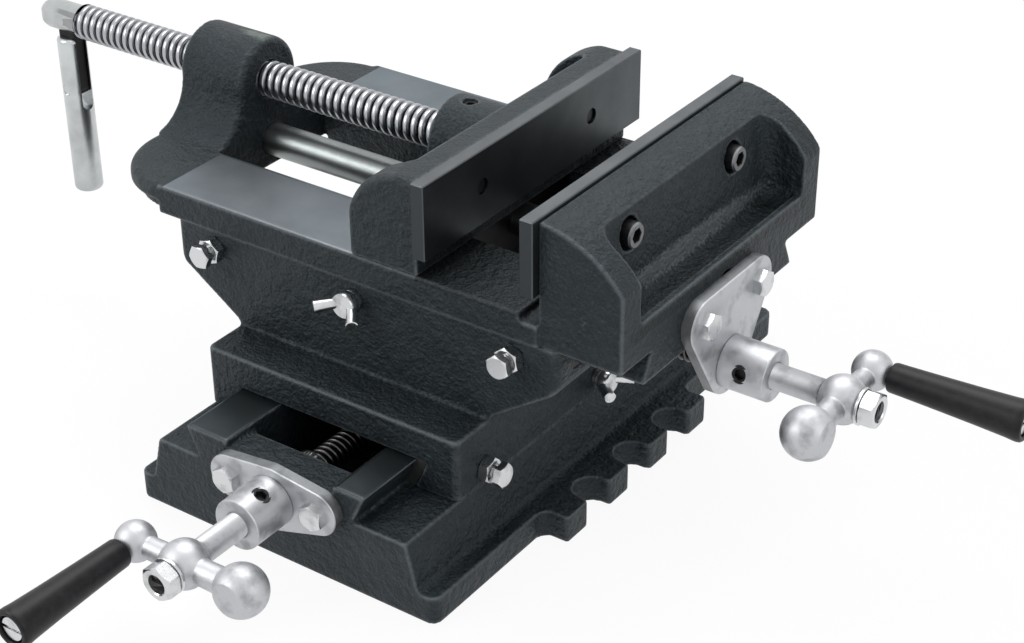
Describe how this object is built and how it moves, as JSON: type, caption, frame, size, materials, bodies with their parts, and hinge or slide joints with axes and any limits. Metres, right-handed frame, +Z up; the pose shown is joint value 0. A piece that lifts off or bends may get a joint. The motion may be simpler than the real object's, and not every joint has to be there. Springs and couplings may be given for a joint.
{
  "type": "cross slide vise",
  "caption": "Two-axis cross slide vise: dovetailed base, saddle and vise body with feed screws, ball cranks, screw-driven movable jaw and folding handle.",
  "frame": {"origin": "on the base's underside, below the crossing of the two slides and on the vise screw's centre plane", "axes": "+X towards the fixed jaw along the vise screw, +Y along the jaws away from the lower crank, +Z up"},
  "size_m": [0.4747, 0.3753, 0.153],
  "materials": {
    "black_casting": "black enamel over a rough casting, slideways machined bright",
    "jaw_steel": "ground, dark grey",
    "zinc_steel": "satin zinc plate",
    "bright_steel": "turned bright steel",
    "gib_steel": "milled dark steel",
    "black_steel": "black oxide",
    "bronze": "cast bronze, machined",
    "black_plastic": "polished black plastic"
  },
  "bodies": {
    "base": {"base": "black_casting", "lower_feed_plate": "zinc_steel", "lower_plate_bolts": "zinc_steel"},
    "lower_screw": {"lower_feed_screw": "bright_steel", "lower_collar": "zinc_steel", "lower_collar_set_screw": "black_steel", "lower_crank": "zinc_steel", "lower_crank_washer": "zinc_steel", "lower_crank_nut": "zinc_steel", "lower_grip_spindle": "bright_steel"},
    "lower_grip": {"lower_grip": "black_plastic"},
    "saddle": {"saddle": "black_casting", "lower_gib": "gib_steel", "lower_gib_screws": "zinc_steel", "lower_gib_locknuts": "zinc_steel", "lower_feed_nut": "bronze", "lower_nut_screws": "black_steel", "upper_gib": "gib_steel", "upper_gib_screws": "zinc_steel", "upper_gib_locknuts": "zinc_steel", "upper_feed_nut": "bronze", "upper_nut_screws": "black_steel"},
    "lower_lock": {"lower_slide_lock": "zinc_steel"},
    "upper_lock": {"upper_slide_lock": "zinc_steel"},
    "vise_body": {"vise_body": "black_casting", "fixed_jaw_plate": "jaw_steel", "fixed_plate_screws": "black_steel", "guide_rod": "bright_steel", "upper_feed_plate": "zinc_steel", "upper_plate_bolts": "zinc_steel"},
    "upper_screw": {"upper_feed_screw": "bright_steel", "upper_collar": "zinc_steel", "upper_collar_set_screw": "black_steel", "upper_crank": "zinc_steel", "upper_crank_washer": "zinc_steel", "upper_crank_nut": "zinc_steel", "upper_grip_spindle": "bright_steel"},
    "upper_grip": {"upper_grip": "black_plastic"},
    "movable_jaw": {"movable_jaw": "black_casting", "movable_jaw_plate": "jaw_steel", "movable_plate_screws": "black_steel", "jaw_keeper": "black_casting", "keeper_screws": "black_steel", "screw_dog": "black_steel"},
    "main_screw": {"main_screw": "bright_steel", "handle_head_pin": "bright_steel"},
    "handle_link": {"handle_link": "black_steel", "handle_bar_pin": "bright_steel"},
    "handle_bar": {"handle_bar": "bright_steel"}
  },
  "joints": [
    {"name": "saddle_slide", "type": "slide", "parent": "base", "child": "saddle", "axis": [0, 1, 0], "range_m": [-0.03, 0.07]},
    {"name": "lower_screw_turn", "type": "hinge", "parent": "base", "child": "lower_screw", "pos_m": [0.0015, -0.1243, 0.0316], "axis": [0, 1, 0], "range_deg": [-8401, 3601]},
    {"name": "lower_grip_spin", "type": "hinge", "parent": "lower_screw", "child": "lower_grip", "pos_m": [-0.023, -0.1857, 0.0316], "axis": [0, -1, 0], "continuous": true},
    {"name": "vise_slide", "type": "slide", "parent": "saddle", "child": "vise_body", "axis": [1, 0, 0], "range_m": [-0.025, 0.075]},
    {"name": "upper_screw_turn", "type": "hinge", "parent": "vise_body", "child": "upper_screw", "pos_m": [0.1215, 0, 0.0722], "axis": [1, 0, 0], "range_deg": [-3001, 9001]},
    {"name": "upper_grip_spin", "type": "hinge", "parent": "upper_screw", "child": "upper_grip", "pos_m": [0.1829, 0.0245, 0.0722], "axis": [1, 0, 0], "continuous": true},
    {"name": "lower_lock_turn", "type": "hinge", "parent": "saddle", "child": "lower_lock", "pos_m": [0.0625, 0.005, 0.0389], "axis": [1, 0, 0], "range_deg": [-90, 90]},
    {"name": "upper_lock_turn", "type": "hinge", "parent": "saddle", "child": "upper_lock", "pos_m": [-0.0015, -0.071, 0.0916], "axis": [0, -1, 0], "range_deg": [-90, 90]},
    {"name": "jaw_slide", "type": "slide", "parent": "vise_body", "child": "movable_jaw", "axis": [1, 0, 0], "range_m": [-0.078, 0.0425]},
    {"name": "main_screw_turn", "type": "hinge", "parent": "movable_jaw", "child": "main_screw", "pos_m": [-0.005, 0, 0.1327], "axis": [1, 0, 0], "range_deg": [-7021, 3826]},
    {"name": "handle_link_swing", "type": "hinge", "parent": "main_screw", "child": "handle_link", "pos_m": [-0.22165, 0, 0.1327], "axis": [0, 1, 0], "range_deg": [-12, 12]},
    {"name": "handle_bar_fold", "type": "hinge", "parent": "handle_link", "child": "handle_bar", "pos_m": [-0.22165, 0, 0.0987], "axis": [0, 1, 0], "range_deg": [0, 90]}
  ],
  "couplings": [
    {"joint": "lower_screw_turn", "follows": "saddle_slide", "rad_per_m": -2094.4},
    {"joint": "upper_screw_turn", "follows": "vise_slide", "rad_per_m": 2094.4},
    {"joint": "main_screw_turn", "follows": "jaw_slide", "rad_per_m": 1570.8}
  ]
}
